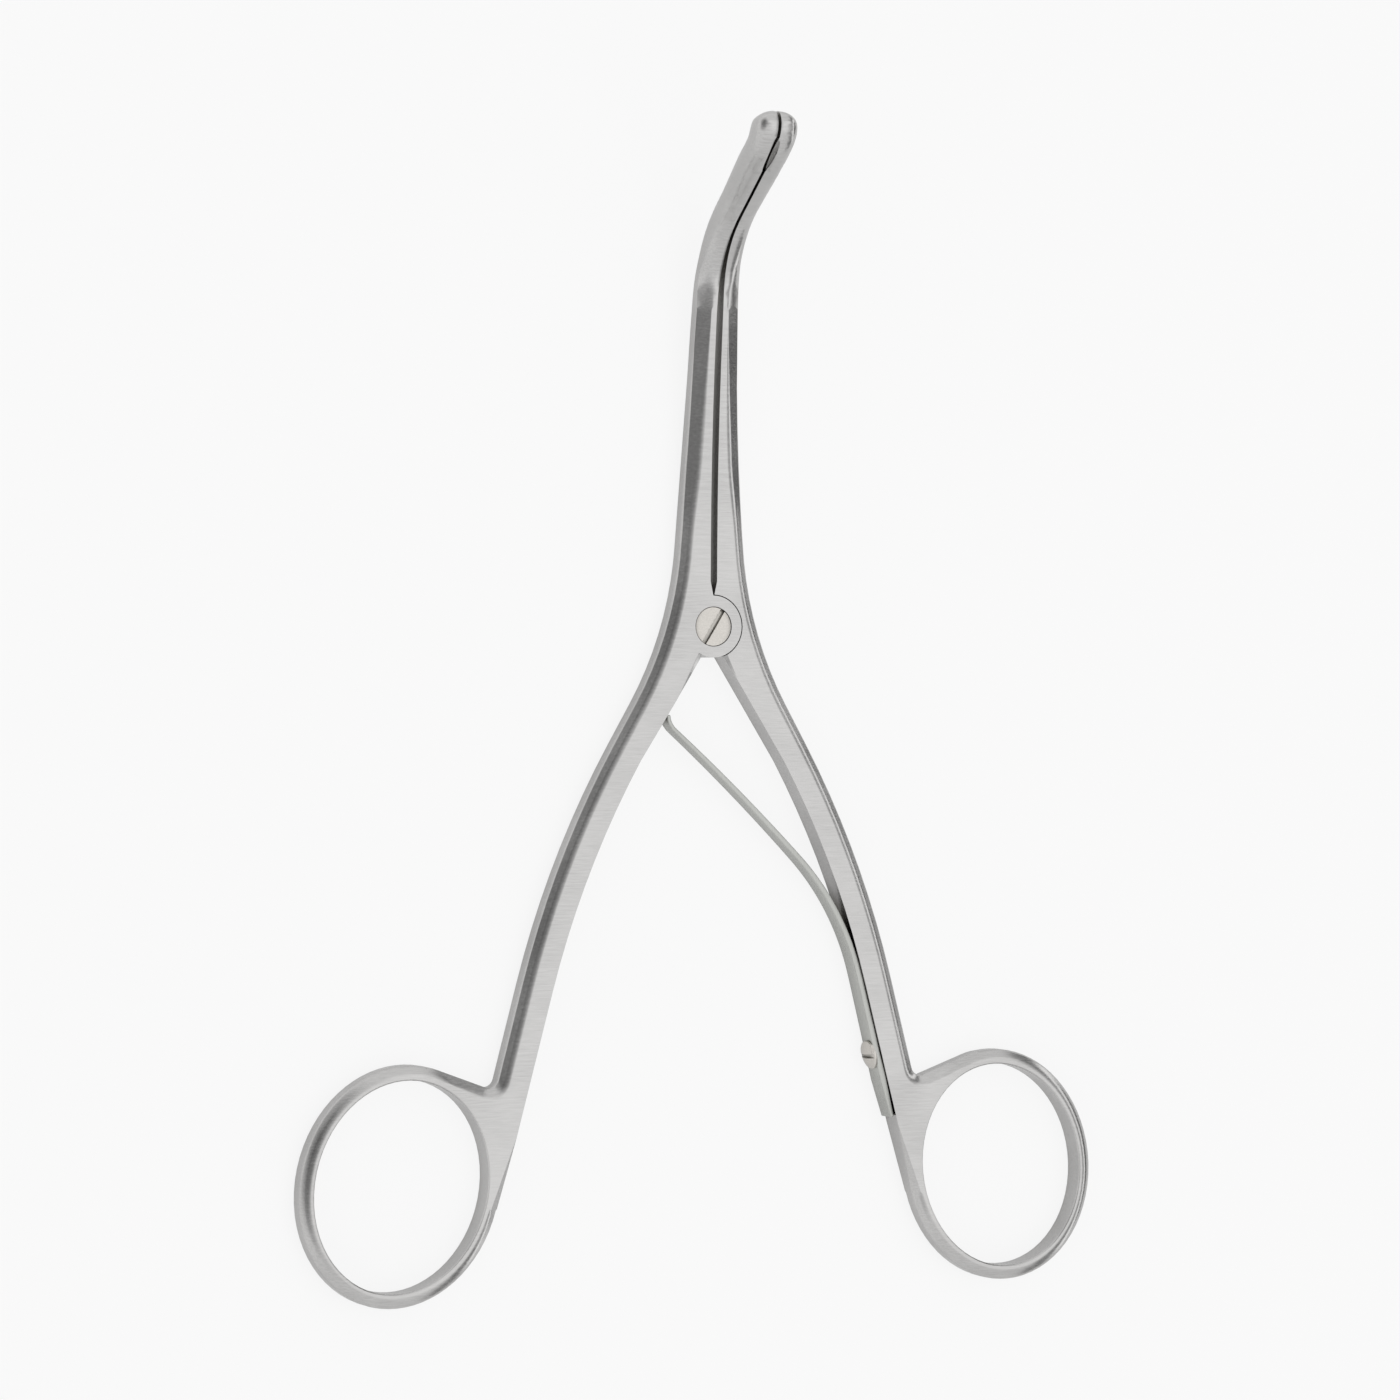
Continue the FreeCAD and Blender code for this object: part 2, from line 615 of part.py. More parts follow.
def body_sketch(body, role, name, points, lift=None):
    """A dimensioned sketch on one of a body's own planes, lifted off it by an expression."""
    plane = next(item for item in body.Origin.OriginFeatures if item.Role == role)
    sketch = body.newObject("Sketcher::SketchObject", name)
    sketch.AttachmentSupport = [(plane, "")]
    sketch.MapMode = "FlatFace"
    if lift:
        sketch.setExpression(".AttachmentOffset.Base.z", lift)
    dimensioned(sketch, points)
    return sketch


def slotted_screw(name, outline, slot, top, depth):
    """A screw standing on its tip: revolved from its outline, then slotted from the top."""
    body = doc.addObject("PartDesign::Body", name)
    turned = body.newObject("PartDesign::Revolution", name + "_turned")
    turned.Profile = body_sketch(body, "XZ_Plane", name + "_outline", outline)
    turned.ReferenceAxis = (turned.Profile[0], ["V_Axis"])
    turned.Angle = 360
    doc.recompute()
    whole = turned.Shape.Volume
    cut = body.newObject("PartDesign::Pocket", name + "_slot")
    cut.Profile = body_sketch(body, "XY_Plane", name + "_slot_outline", slot, top)
    cut.setExpression("Length", depth)
    doc.recompute()
    if not cut.Shape.Volume < whole:
        raise RuntimeError(f"{name} has no slot")
    return body


def slot_corners(length, width):
    """The corners of a slot centred on the screw's axis."""
    half_length, half_width = f"({length}) / 2", f"({width}) / 2"
    less_length, less_width = f"0 - ({length}) / 2", f"0 - ({width}) / 2"
    return [(less_length, less_width), (half_length, less_width),
            (half_length, half_width), (less_length, half_width)]


head_under = "Sizes.stock_thickness - Sizes.head_depth"
pivot_screw = slotted_screw(
    "pivot_screw",
    [("0", "0"), ("Sizes.pin_radius", "0"), ("Sizes.pin_radius", head_under),
     ("Sizes.head_radius", head_under), ("Sizes.head_radius", thickness), ("0", thickness)],
    slot_corners("Sizes.head_radius * 4", "Sizes.slot_width"), thickness, "Sizes.slot_depth")
pivot_screw.Placement = FreeCAD.Placement(
    V(0, 0, 0), FreeCAD.Rotation(UP, 90 - size("slot_angle")))

head_foot = "Sizes.spring_screw_grip + Sizes.spring_thickness + Sizes.seat_clearance * 2"
head_top = f"{head_foot} + Sizes.spring_screw_head"
spring_screw = slotted_screw(
    "spring_screw",
    [("0", "0"), ("Sizes.spring_screw_pin", "0"), ("Sizes.spring_screw_pin", head_foot),
     ("Sizes.spring_screw_head_radius", head_foot),
     ("Sizes.spring_screw_head_radius", f"{head_top} - Sizes.spring_screw_round"),
     ("Sizes.spring_screw_head_radius - Sizes.spring_screw_round", head_top),
     ("0", head_top)],
    slot_corners("Sizes.spring_screw_head_radius * 4", "Sizes.spring_screw_slot"),
    head_top, "Sizes.spring_screw_slot")
spring_screw.Placement = FreeCAD.Placement(
    screw_spot + wall_out * size("spring_screw_grip"),
    FreeCAD.Rotation(RIGHT, UP, wall_out * -1, "ZYX"))

# Every object is checked before anything is written

doc.recompute()
failed = [item.Name for item in doc.Objects
          if "Invalid" in item.State or "Error" in item.State]
if failed:
    raise RuntimeError(f"failed objects: {failed}")
pieces = [right_lever, left_lever, pivot_screw, leaf_spring, spring_screw]
for piece in pieces:
    if piece.Shape.isNull() or not piece.Shape.isValid() or len(piece.Shape.Solids) != 1:
        raise RuntimeError(f"{piece.Label} is not one valid solid")
for piece in pieces:
    piece.Shape.exportStep(f"parts/{piece.Label}.step")
    box = piece.Shape.BoundBox
    print(piece.Label, f"{piece.Shape.Volume:.1f} mm3", f"x {box.XMin:.2f} {box.XMax:.2f}",
          f"y {box.YMin:.2f} {box.YMax:.2f}", f"z {box.ZMin:.2f} {box.ZMax:.2f}")
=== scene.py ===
"""Tracheal dilator of satin stainless steel on a pale table, seen as in its photograph.

The frame gives the solids: two levers, the pivot screw, the leaf spring and its screw. The
levers are dressed copies of their solids, with every edge eased as the polisher leaves it, and
the small pieces are modelled here over theirs. All is in metres, in the frame of the solids:
+X to the right as seen from the front, +Y to the blade tips, +Z to the front.
"""
import logging
import math
from collections.abc import Callable
from dataclasses import dataclass, field
from enum import Enum

import bmesh
import bpy
from mathutils import Matrix, Vector

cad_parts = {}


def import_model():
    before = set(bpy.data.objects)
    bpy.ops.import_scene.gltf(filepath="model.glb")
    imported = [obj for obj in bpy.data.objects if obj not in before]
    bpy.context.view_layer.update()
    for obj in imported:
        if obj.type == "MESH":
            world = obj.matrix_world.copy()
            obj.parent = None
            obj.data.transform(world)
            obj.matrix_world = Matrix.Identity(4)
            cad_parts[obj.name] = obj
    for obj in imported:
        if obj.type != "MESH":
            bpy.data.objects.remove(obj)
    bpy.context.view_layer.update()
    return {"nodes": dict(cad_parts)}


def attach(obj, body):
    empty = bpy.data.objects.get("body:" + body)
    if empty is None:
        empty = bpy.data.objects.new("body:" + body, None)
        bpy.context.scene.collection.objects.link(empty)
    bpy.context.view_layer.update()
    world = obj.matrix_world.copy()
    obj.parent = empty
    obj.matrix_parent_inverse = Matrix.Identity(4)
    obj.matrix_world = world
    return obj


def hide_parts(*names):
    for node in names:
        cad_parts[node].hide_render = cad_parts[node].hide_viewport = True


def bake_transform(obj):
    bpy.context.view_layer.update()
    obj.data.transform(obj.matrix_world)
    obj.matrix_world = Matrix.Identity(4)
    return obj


LOG = logging.getLogger("dilator")
MM = 0.001
FRONT = Vector((0, 0, 1))


def linear(hex_colour: str) -> tuple[float, float, float, float]:
    """Turns an sRGB hex colour into linear values.

    Args:
        hex_colour: six hexadecimal digits, without a sign before them.

    Returns:
        Red, green, blue and a full alpha.
    """
    channels = [int(hex_colour[place:place + 2], 16) / 255 for place in (0, 2, 4)]
    light = [c / 12.92 if c <= 0.04045 else ((c + 0.055) / 1.055) ** 2.4 for c in channels]
    return (*light, 1.0)


def add_node(tree: bpy.types.NodeTree, kind: str, settings: dict | None = None,
             **inputs: object) -> bpy.types.Node:
    """Adds one node with its settings, values and links.

    Args:
        tree: the node tree that gets it.
        kind: the node's type, without the word that all types start with.
        settings: properties of the node itself, by name.
        **inputs: an output socket to link, or a value to set, by the input's name with
            underscores for its spaces, or by its number after an underscore.

    Returns:
        The new node.
    """
    node = tree.nodes.new("ShaderNode" + kind)
    for name, value in (settings or {}).items():
        setattr(node, name, value)
    for name, value in inputs.items():
        key = int(name[1:]) if name[0] == "_" else name.replace("_", " ")
        socket = node.inputs[key]
        if isinstance(value, bpy.types.NodeSocket):
            tree.links.new(value, socket)
        else:
            socket.default_value = value
    return node


def new_material(name: str) -> tuple[bpy.types.Material, bpy.types.NodeTree]:
    """An empty material that uses nodes.

    Args:
        name: what the material is called.

    Returns:
        The material and its cleared node tree.
    """
    material = bpy.data.materials.new(name)
    material.use_nodes = True
    material.node_tree.nodes.clear()
    return material, material.node_tree


class Grain(Enum):
    """Which way the last grinding lines run, as a stretch of the pattern along X, Y and Z."""

    CROSSWISE = (0.07, 1.0, 1.0)
    LENGTHWISE = (1.0, 0.07, 1.0)
    NONE = (1.0, 1.0, 1.0)


@dataclass(frozen=True)
class SatinSteel:
    """Stainless steel, ground and then glass-bead or brush finished.

    The eye gets a pale, cool metal with blurred reflections, fine grinding lines that catch the
    light across the faces, cloudy patches where the wheel pressed harder, and painted shade: a
    dark grey-brown mixed into the colour in gaps and narrow hollows by ambient occlusion. Real
    grinding lines are about 0.05 mm apart, too fine to show, so they are drawn several times as
    coarse.
    """

    name: str
    colour: str
    roughness: float
    grain: Grain
    grain_spacing: float = 0.2 * MM
    grain_depth: float = 0.006 * MM
    cloud_size: float = 8 * MM
    cloud: float = 0.06
    noise_range: tuple[float, float] = (0.7, 1.3)
    darkest: float = 0.8
    # Painted shade: the dark grey-brown mixed in where ambient occlusion finds gaps, slots,
    # creases and the table close by, how far the occlusion looks, and the occlusion levels at
    # which this shade is full and gone.
    crevice_shade_colour: str = "58554D"
    reach: float = 1.6 * MM
    full_shade_below: float = 0.12
    no_shade_above: float = 0.6

    def material(self) -> bpy.types.Material:
        """Builds the procedural material."""
        made, tree = new_material(self.name)
        place = add_node(tree, "TexCoord").outputs["Object"]
        stretched = add_node(tree, "Mapping", Vector=place, Scale=self.grain.value)
        lines = add_node(tree, "TexNoise", Vector=stretched.outputs[0],
                         Scale=1 / self.grain_spacing, Detail=3.0, Roughness=0.6)
        clouds = add_node(tree, "TexNoise", Vector=place, Scale=1 / self.cloud_size,
                          Detail=2.0, Roughness=0.5)
        mottled = add_node(tree, "Math", {"operation": "ADD"}, _0=lines.outputs[0],
                           _1=clouds.outputs[0])
        shade = add_node(tree, "MapRange", Value=mottled.outputs[0],
                         From_Min=self.noise_range[0], From_Max=self.noise_range[1])
        rough = add_node(tree, "MapRange", Value=shade.outputs[0],
                         To_Min=self.roughness - self.cloud, To_Max=self.roughness + self.cloud)
        ground = linear(self.colour)
        tint = add_node(tree, "Mix", {"data_type": "RGBA"}, _0=shade.outputs[0])
        tint.inputs[6].default_value = [channel * self.darkest for channel in ground[:3]] + [1.0]
        tint.inputs[7].default_value = ground
        # Painted shade: ambient occlusion darkens the colour towards a dull grey-brown in the
        # joint's gaps, the slots, along the spring and where walls meet the table.
        occlusion = add_node(tree, "AmbientOcclusion", {"samples": 8}, Distance=self.reach)
        unshaded_share = add_node(tree, "MapRange", Value=occlusion.outputs["AO"],
                            From_Min=self.full_shade_below, From_Max=self.no_shade_above)
        shaded_steel = add_node(tree, "Mix", {"data_type": "RGBA"}, _0=unshaded_share.outputs[0],
                        _7=tint.outputs[2])
        shaded_steel.inputs[6].default_value = linear(self.crevice_shade_colour)
        relief = add_node(tree, "Bump", Strength=1.0, Distance=self.grain_depth,
                          Height=lines.outputs[0])
        shader = add_node(tree, "BsdfPrincipled", Base_Color=shaded_steel.outputs[2],
                          Metallic=1.0, Roughness=rough.outputs[0], Normal=relief.outputs[0])
        add_node(tree, "OutputMaterial", Surface=shader.outputs[0])
        return made


GROUND_STEEL = SatinSteel("ground stainless steel", "D2D1D0", 0.21, Grain.CROSSWISE)
SPRING_STEEL = SatinSteel("spring steel strip", "CBCCC8", 0.3, Grain.LENGTHWISE)
# The screw's painted shade, in its slot and under its head, spreads over a wider range of
# occlusion.
SCREW_STEEL = SatinSteel("turned screw steel", "DDD9D3", 0.2, Grain.NONE, cloud=0.03,
                         no_shade_above=0.75)


def only(piece: bpy.types.Object) -> None:
    """Makes one object the only selected and the active one."""
    bpy.ops.object.select_all(action="DESELECT")
    piece.select_set(True)
    bpy.context.view_layer.objects.active = piece


def choose_faces(piece: bpy.types.Object, wanted: Callable[[bmesh.types.BMFace], bool]) -> None:
    """Selects the faces that pass a test, and nothing else, of a piece in edit mode.

    Args:
        piece: the object in edit mode.
        wanted: tells whether a face is one of them.
    """
    bpy.ops.mesh.select_mode(type="FACE")
    bpy.ops.mesh.select_all(action="DESELECT")
    work = bmesh.from_edit_mesh(piece.data)
    for face in work.faces:
        face.select_set(wanted(face))
    bmesh.update_edit_mesh(piece.data)


def extruded(move: Vector, scale: Vector | None = None) -> None:
    """Extrudes the selected faces, moves them and then scales them about their middle."""
    bpy.ops.mesh.extrude_region_move(TRANSFORM_OT_translate={"value": move})
    if scale is not None:
        bpy.ops.transform.resize(value=scale)


def apply_modifier(piece: bpy.types.Object, kind: str, **settings: object) -> None:
    """Adds a modifier to a piece and applies it at once.

    Args:
        piece: the object in object mode.
        kind: the modifier's type.
        **settings: its properties by name.
    """
    only(piece)
    modifier = piece.modifiers.new(kind.lower(), kind)
    for name, value in settings.items():
        setattr(modifier, name, value)
    bpy.ops.object.modifier_apply(modifier=modifier.name)


def hand_over(piece: bpy.types.Object, node: str, body: str) -> bpy.types.Object:
    """Lets a piece stand for a node and ride on its body.

    Args:
        piece: the finished object.
        node: the solid that it replaces.
        body: the body that carries it.

    Returns:
        The same object.
    """
    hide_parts(node)
    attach(piece, body)
    return piece


@dataclass
class Lever:
    """One lever: blade, half of the lap joint, shank and finger ring in one forging."""

    node: str
    body: str
    side: int
    shoulder: float = 0.45 * MM
    wall_share: float = 0.6
    fade_start: float = 24 * MM
    bend: float = 38 * MM
    ring_middle: float = -64 * MM
    ring_fade: float = 6 * MM
    edge_ease: float = 0.2 * MM
    sharp: float = math.radians(30)
    flat_from: float = 0.97
    upright_below: float = 0.1
    bevel_tilt: tuple[float, float] = (0.75, 0.93)
    inner_from: float = 0.2

    def share(self, edge: bmesh.types.BMEdge) -> float:
        """How much of the full rounding an edge of the lever gets.

        Args:
            edge: an edge of the merged solid.

        Returns:
            1 along the ridges of the outer bevels, less where they end, 0 for other edges.
        """
        if len(edge.link_faces) != 2 or not edge.is_convex:
            return 0.0
        wall, face = sorted(edge.link_faces, key=lambda one: abs(one.normal.z))
        steep, flat = abs(wall.normal.z), abs(face.normal.z)
        height = max(vertex.co.y for vertex in edge.verts)
        inwards = -self.side * wall.normal.x
        least, most = self.bevel_tilt
        if flat > self.flat_from and least < steep < most:
            full = 1.0
        elif steep < self.upright_below and least < flat < most:
            full = self.wall_share
        else:
            return 0.0
        if inwards > self.inner_from:
            return full * min(max((self.ring_middle - height) / self.ring_fade, 0.0), 1.0)
        return full * min(max((self.bend - height) / (self.bend - self.fade_start), 0.0), 1.0)

    def weigh_shoulders(self, piece: bpy.types.Object) -> None:
        """Marks the ridges along the outer bevels, for a softer rounding than other edges get."""
        mesh = bmesh.new()
        mesh.from_mesh(piece.data)
        weight = mesh.edges.layers.float.new("bevel_weight_edge")
        for edge in mesh.edges:
            edge[weight] = self.share(edge)
        mesh.to_mesh(piece.data)
        mesh.free()

    def build(self, source: bpy.types.Object) -> bpy.types.Object:
        """Copies the solid, joins its triangles and eases its edges.

        Args:
            source: the solid of this lever, which stays as it is.

        Returns:
            The dressed lever.
        """
        piece = bpy.data.objects.new(self.node + "_forging", source.data.copy())
        bpy.context.scene.collection.objects.link(piece)
        only(piece)
        bpy.ops.object.mode_set(mode="EDIT")
        bpy.ops.mesh.select_all(action="SELECT")
        bpy.ops.mesh.remove_doubles(threshold=0.002 * MM)
        bpy.ops.mesh.dissolve_limited(angle_limit=math.radians(0.4))
        bpy.ops.object.mode_set(mode="OBJECT")
        self.weigh_shoulders(piece)
        apply_modifier(piece, "BEVEL", width=self.shoulder, segments=4, limit_method="WEIGHT",
                       use_clamp_overlap=False, face_strength_mode="FSTR_ALL")
        apply_modifier(piece, "BEVEL", width=self.edge_ease, segments=2, limit_method="ANGLE",
                       angle_limit=self.sharp, use_clamp_overlap=True,
                       face_strength_mode="FSTR_AFFECTED")
        bpy.ops.object.shade_smooth_by_angle(angle=math.radians(40))
        apply_modifier(piece, "WEIGHTED_NORMAL", keep_sharp=True, use_face_influence=True)
        piece.data.materials.clear()
        piece.data.materials.append(GROUND_STEEL.material())
        return hand_over(piece, self.node, self.body)


@dataclass
class SlottedScrew:
    """A turned screw with a flat-bottomed slot across its head, standing on its tip."""

    node: str
    pin_radius: float
    pin_length: float
    head_radius: float
    head_height: float
    rim: float
    crown: float
    slot_width: float
    slot_depth: float
    place: Matrix
    sides: int = 96
    edge_ease: float = 0.05 * MM
    crown_steps: tuple[tuple[float, float], ...] = (
        (0.45, 0.75), (0.3, 0.6), (0.18, 0.5), (0.07, 0.4))

    def turned(self) -> bpy.types.Object:
        """Makes the shank and draws the head, its rim and its low crown out of its top."""
        bpy.ops.object.select_all(action="DESELECT")
        bpy.ops.mesh.primitive_cylinder_add(
            vertices=self.sides, radius=self.pin_radius, depth=self.pin_length,
            location=(0, 0, self.pin_length / 2))
        piece = bpy.context.object
        piece.name = self.node + "_turned"
        bpy.ops.object.mode_set(mode="EDIT")
        top = self.pin_length / 2
        choose_faces(piece, lambda face: face.calc_center_median().z > top - 0.001 * MM)
        spread = self.head_radius / self.pin_radius
        extruded(Vector(), Vector((spread, spread, 1)))
        extruded(FRONT * (self.head_height - self.rim - self.crown))
        inner = 1 - self.rim / self.head_radius
        extruded(FRONT * self.rim, Vector((inner, inner, 1)))
        for share, shrink in self.crown_steps:
            extruded(FRONT * self.crown * share, Vector((shrink, shrink, 1)))
        bpy.ops.object.mode_set(mode="OBJECT")
        bpy.ops.object.transform_apply(location=True, rotation=True, scale=True)
        return piece

    def build(self) -> bpy.types.Object:
        """Turns the screw, cuts its slot and puts it in its place.

        Returns:
            The finished screw.
        """
        piece = self.turned()
        height = self.pin_length + self.head_height
        bpy.ops.object.select_all(action="DESELECT")
        bpy.ops.mesh.primitive_cube_add(size=1, location=(0, 0, height), scale=(
            self.head_radius * 3, self.slot_width, self.slot_depth * 2))
        cutter = bpy.context.object
        apply_modifier(piece, "BOOLEAN", operation="DIFFERENCE", solver="EXACT", object=cutter)
        bpy.data.objects.remove(cutter)
        apply_modifier(piece, "BEVEL", width=self.edge_ease, segments=2, limit_method="ANGLE",
                       angle_limit=math.radians(30))
        bpy.ops.object.shade_smooth_by_angle(angle=math.radians(35))
        piece.matrix_world = self.place
        bpy.ops.object.transform_apply(location=True, rotation=True, scale=True)
        piece.data.materials.append(SCREW_STEEL.material())
        return hand_over(piece, self.node, "right_half")


PIVOT_SCREW = SlottedScrew(
    node="pivot_screw", pin_radius=1.3 * MM, pin_length=2.25 * MM, head_radius=2.35 * MM,
    head_height=0.75 * MM, rim=0.06 * MM, crown=0.05 * MM, slot_width=0.58 * MM,
    slot_depth=0.4 * MM, place=Matrix.Rotation(math.radians(58), 4, "Z"))
SHANK_WAY = Vector((0.96682, 0.25545, 0))
SPRING_SCREW = SlottedScrew(
    node="spring_screw", pin_radius=0.8 * MM, pin_length=3.14 * MM,
    head_radius=1.75 * MM, head_height=0.85 * MM, rim=0.14 * MM, crown=0.42 * MM,
    slot_width=0.5 * MM, slot_depth=0.5 * MM,
    place=Matrix.Translation(Vector((22.8136, -51.4472, 1.8)) * MM + SHANK_WAY * 2.2 * MM)
    @ Matrix((-FRONT, SHANK_WAY.cross(FRONT), -SHANK_WAY)).transposed().to_4x4())


@dataclass
class LeafSpring:
    """A flat strip, screwed to the right shank, that bears on the left one with its curled tip.

    Its path is a row of arcs given by length and turn, starting at the end of its foot.
    """

    node: str = "leaf_spring"
    foot_end: Vector = field(default_factory=lambda: Vector((24.8378, -59.1869, 0)) * MM)
    heading: float = math.radians(104.8)
    arcs: tuple[tuple[float, float], ...] = (
        (16.5, 0.0), (1.9378, 1.0), (16.1408, 28.9), (22.6728, 5.1143), (1.8431, -48.0))
    middle_height: float = 1.5 * MM
    foot_thickness: float = 0.9 * MM
    tip_thickness: float = 0.5 * MM
    foot_width: float = 2.5 * MM
    tip_width: float = 2.0 * MM
    end_length: float = 4.6 * MM
    end_thickness: float = 0.45 * MM
    end_lift: float = 0.16 * MM
    cuts: int = 110
    edge_ease: float = 0.1 * MM

    def path(self) -> bpy.types.Object:
        """Draws the wall side of the spring as a curve of as many arcs as it has."""
        data = bpy.data.curves.new("spring path", "CURVE")
        data.dimensions = "2D"
        data.resolution_u = 64
        spline = data.splines.new("BEZIER")
        spline.bezier_points.add(len(self.arcs))
        place, heading = self.foot_end.copy(), self.heading
        for number, point in enumerate(spline.bezier_points):
            point.co = place
            way = Vector((math.cos(heading), math.sin(heading), 0))
            point.handle_left_type = point.handle_right_type = "FREE"
            before = self.arcs[number - 1] if number else self.arcs[0]
            after = self.arcs[number] if number < len(self.arcs) else before
            point.handle_left = place - way * self.reach(*before)
            point.handle_right = place + way * self.reach(*after)
            length, turn = after[0] * MM, math.radians(after[1])
            chord = length * (math.sin(turn / 2) / (turn / 2) if turn else 1)
            middle = heading + turn / 2
            place = place + Vector((math.cos(middle), math.sin(middle), 0)) * chord
            heading += turn
        path = bpy.data.objects.new("spring path", data)
        bpy.context.scene.collection.objects.link(path)
        return path

    @staticmethod
    def reach(length: float, turn: float) -> float:
        """How long a handle makes its half of a curve follow an arc, in metres."""
        angle = math.radians(abs(turn))
        if angle == 0:
            return length * MM / 3
        return 4 / 3 * math.tan(angle / 4) * length * MM / angle

    def strip(self) -> bpy.types.Object:
        """Makes the straight strip, foot at the origin, thinned at the foot and to the tip."""
        length = sum(arc[0] for arc in self.arcs) * MM
        bpy.ops.object.select_all(action="DESELECT")
        bpy.ops.mesh.primitive_cube_add(size=1, location=(
            self.end_length / 2, self.foot_thickness / 2, self.middle_height),
            scale=(self.end_length, self.foot_thickness, self.foot_width))
        piece = bpy.context.object
        piece.name = self.node + "_strip"
        bpy.ops.object.transform_apply(location=True, rotation=True, scale=True)
        bpy.ops.object.mode_set(mode="EDIT")
        choose_faces(piece, lambda face: face.normal.x > 0.9)
        run = length - self.end_length
        bpy.ops.mesh.extrude_region_move(TRANSFORM_OT_translate={"value": (run, 0, 0)})
        bpy.ops.transform.resize(
            value=(1, self.tip_thickness / self.foot_thickness, self.tip_width / self.foot_width),
            center_override=(length, 0, self.middle_height))
        choose_faces(piece, lambda face: face.normal.x < -0.9)
        bpy.ops.transform.resize(value=(1, self.end_thickness / self.foot_thickness, 1),
                                 center_override=(0, 0, self.middle_height))
        bpy.ops.transform.translate(value=(0, self.end_lift, 0))
        bpy.ops.mesh.select_mode(type="EDGE")
        bpy.ops.mesh.select_all(action="DESELECT")
        work = bmesh.from_edit_mesh(piece.data)
        for edge in work.edges:
            edge.select_set(edge.calc_length() > run / 2)
        bmesh.update_edit_mesh(piece.data)
        bpy.ops.mesh.subdivide(number_cuts=self.cuts)
        bpy.ops.object.mode_set(mode="OBJECT")
        return piece

    def build(self) -> bpy.types.Object:
        """Bends the strip over its path and eases its edges.

        Returns:
            The finished spring.
        """
        piece = self.strip()
        path = self.path()
        apply_modifier(piece, "CURVE", object=path, deform_axis="POS_X")
        bpy.data.objects.remove(path)
        apply_modifier(piece, "BEVEL", width=self.edge_ease, segments=3, limit_method="ANGLE",
                       angle_limit=math.radians(40))
        bpy.ops.object.shade_smooth_by_angle(angle=math.radians(40))
        piece.data.materials.append(SPRING_STEEL.material())
        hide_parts(self.node)
        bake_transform(piece)
        return piece


@dataclass(frozen=True)
class Card:
    """A darker or brighter part of the room: full within its inner angle, gone past its outer."""

    way: Vector
    inner: float
    outer: float
    level: float


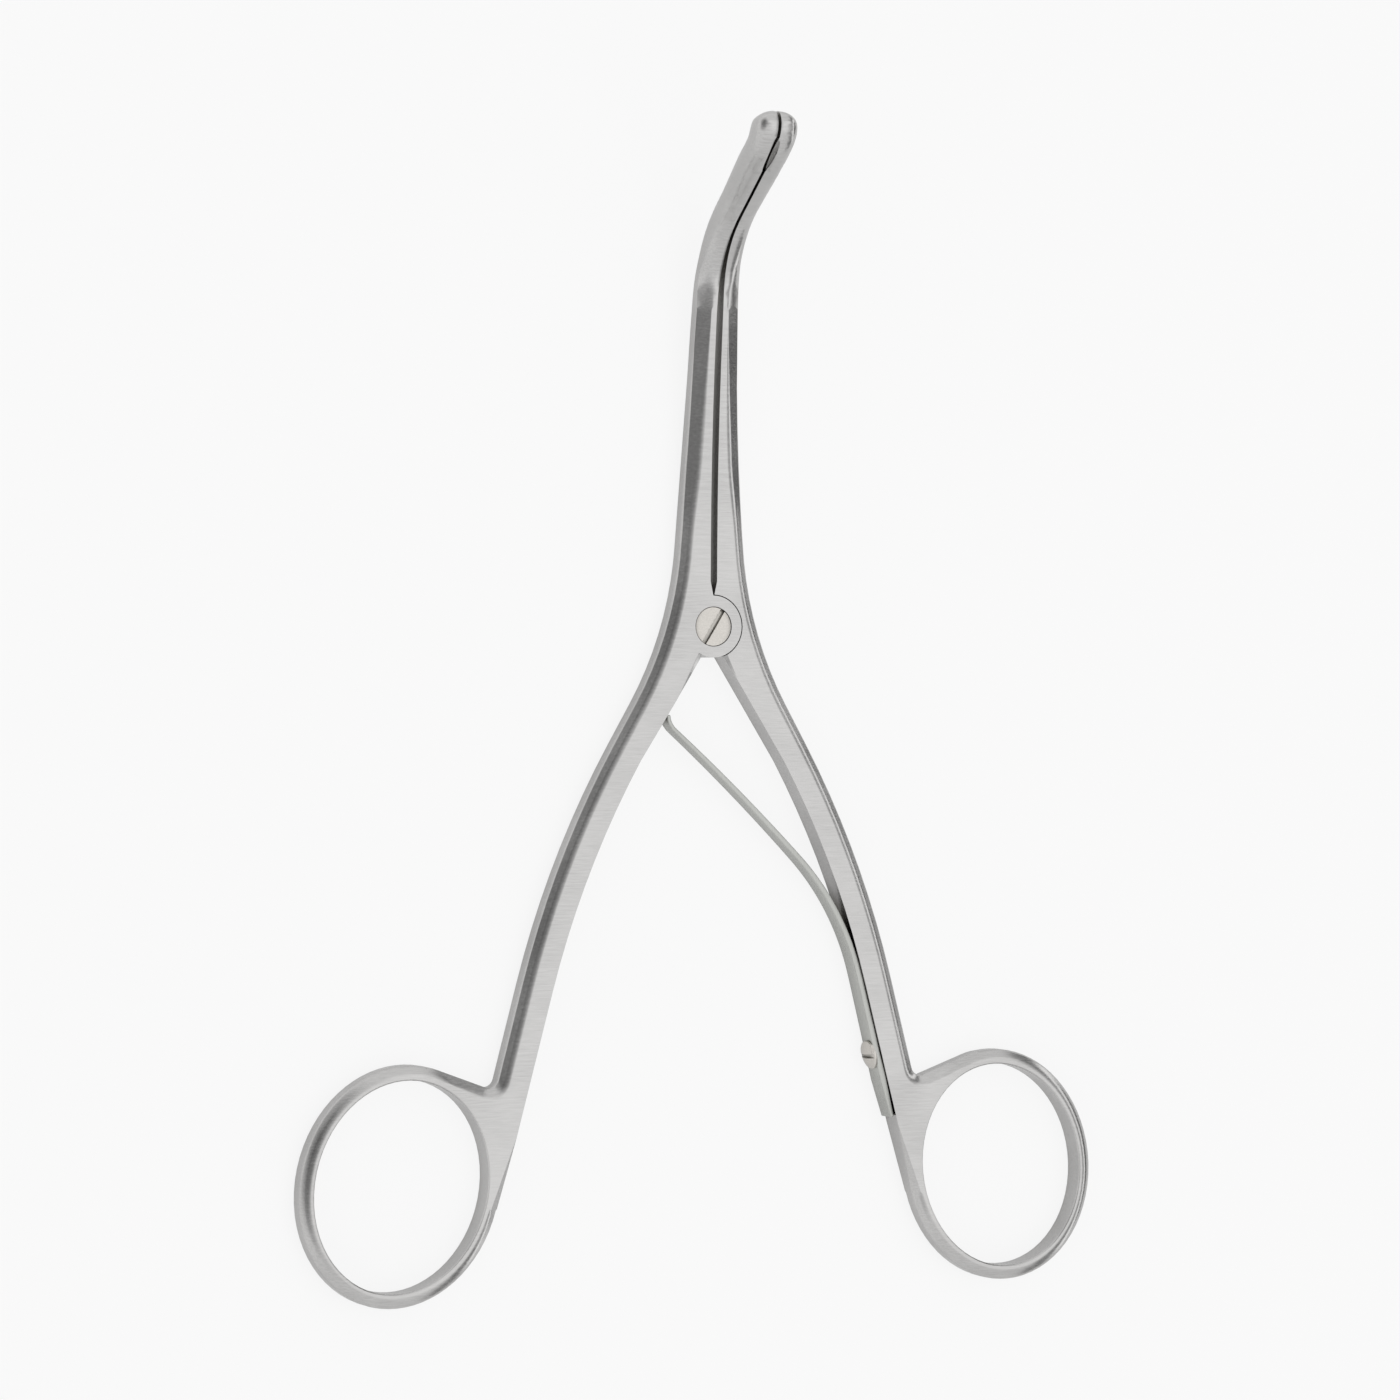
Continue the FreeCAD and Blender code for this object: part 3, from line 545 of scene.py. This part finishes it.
@dataclass
class Studio:
    """The table, the soft light and the camera."""

    yaw: float = math.radians(25)
    roll: float = math.radians(-0.32)
    distance: float = 597.9 * MM
    aim: Vector = Vector((-1.63 * MM, -8.77 * MM, 0))
    pivot_front: Vector = Vector((0, 0, 3 * MM))
    lens: float = 128.83
    sensor: float = 36.0
    table_size: float = 6.0
    room: float = 0.85
    lamp_power: float = 0.42
    lamp_sides: tuple[float, float] = (0.7, 0.9)
    lamp_height: float = 1.0
    lamp_tilt: float = math.radians(32)
    table_drop: float = 0.02 * MM
    table_seen: float = 0.86
    table_mirrored: float = 0.35
    cards: tuple[Card, ...] = (
        Card(Vector((-0.4, 0.1, 0.91)), math.radians(8), math.radians(36), 0.3),
        Card(Vector((-0.5, 0.5, 0.7)), math.radians(6), math.radians(30), 0.55),
        Card(Vector((1, 0, 0)), math.radians(47), math.radians(56), 0.32),
        Card(Vector((1, 0, 0)), math.radians(31), math.radians(37), 5.0),
        Card(Vector((1, 0, 0)), math.radians(17), math.radians(27), 0.12),
        Card(Vector((0.3, -0.95, 0.05)), math.radians(10), math.radians(55), 0.92))

    def camera(self) -> None:
        """Adds the camera: to the left of the front, level with the joint."""
        turn = (Matrix.Rotation(-self.yaw, 3, "Y") @ Matrix.Rotation(-self.roll, 3, "Z"))
        data = bpy.data.cameras.new("camera")
        data.lens = self.lens
        data.sensor_width = self.sensor
        data.clip_start = 0.01
        data.clip_end = 20
        camera = bpy.data.objects.new("camera", data)
        offset = self.aim + Vector((0, 0, self.distance))
        camera.matrix_world = (Matrix.Translation(self.pivot_front + turn @ offset)
                               @ turn.to_4x4())
        bpy.context.scene.collection.objects.link(camera)
        bpy.context.scene.camera = camera

    def table(self) -> bpy.types.Object:
        """Adds the pale table top just under the back faces."""
        bpy.ops.object.select_all(action="DESELECT")
        bpy.ops.mesh.primitive_plane_add(size=self.table_size, location=(0, 0, -self.table_drop))
        top = bpy.context.object
        top.name = "table_top"
        made, tree = new_material("white table")
        path = add_node(tree, "LightPath")
        mirrored = add_node(tree, "Math", {"operation": "MULTIPLY"},
                            _0=path.outputs["Is Glossy Ray"], _1=self.table_mirrored)
        share = add_node(tree, "Math", {"operation": "MULTIPLY_ADD"},
                         _0=path.outputs["Is Camera Ray"], _1=self.table_seen,
                         _2=mirrored.outputs[0])
        matt = add_node(tree, "BsdfDiffuse", Color=linear("F4F4F4"))
        bright = add_node(tree, "Emission", Color=(1, 1, 1, 1), Strength=1.0)
        mixed = add_node(tree, "MixShader", _0=share.outputs[0], _1=matt.outputs[0],
                         _2=bright.outputs[0])
        add_node(tree, "OutputMaterial", Surface=mixed.outputs[0])
        top.data.materials.append(made)
        return top

    def light(self) -> None:
        """Lights the table with a white room, in which cards shape the metal, and a soft box."""
        scene = bpy.context.scene
        world = bpy.data.worlds.new("room")
        scene.world = world
        world.use_nodes = True
        tree = world.node_tree
        tree.nodes.clear()
        way = add_node(tree, "TexCoord").outputs["Generated"]
        level: object = self.room
        for card in self.cards:
            toward = add_node(tree, "VectorMath", {"operation": "DOT_PRODUCT"}, _0=way,
                              _1=card.way.normalized())
            shade = add_node(tree, "MapRange", {"interpolation_type": "SMOOTHSTEP"},
                             Value=toward.outputs["Value"], From_Min=math.cos(card.outer),
                             From_Max=math.cos(card.inner), To_Min=1.0, To_Max=card.level)
            level = add_node(tree, "Math", {"operation": "MULTIPLY"}, _0=level,
                             _1=shade.outputs[0]).outputs[0]
        path = add_node(tree, "LightPath")
        seen = add_node(tree, "Math", {"operation": "MAXIMUM"}, _0=level,
                        _1=path.outputs["Is Camera Ray"])
        back = add_node(tree, "Background", Strength=seen.outputs[0], Color=(1, 1, 1, 1))
        add_node(tree, "OutputWorld", Surface=back.outputs[0])
        lamp = bpy.data.lights.new("soft box", "AREA")
        lamp.shape = "RECTANGLE"
        lamp.size, lamp.size_y = self.lamp_sides
        lamp.energy = self.lamp_power
        holder = bpy.data.objects.new("soft box", lamp)
        holder.matrix_world = (Matrix.Rotation(self.lamp_tilt, 4, "Y")
                               @ Matrix.Translation((0, 0, self.lamp_height)))
        scene.collection.objects.link(holder)


def main() -> None:
    """Builds the scene and reports each piece."""
    logging.basicConfig(level=logging.INFO, format="%(message)s")
    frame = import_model()
    bpy.context.scene.view_settings.view_transform = "Standard"
    pieces = [lever.build(frame["nodes"][lever.node])
              for lever in (Lever("right_lever", "right_half", 1),
                            Lever("left_lever", "left_half", -1))]
    pieces += [PIVOT_SCREW.build(), SPRING_SCREW.build(), LeafSpring().build()]
    for piece in pieces:
        LOG.info("%s: %d faces, %s", piece.name, len(piece.data.polygons),
                 [round(side * 1000, 2) for side in piece.dimensions])
    studio = Studio()
    studio.camera()
    studio.table()
    studio.light()


if __name__ == "__main__":
    main()
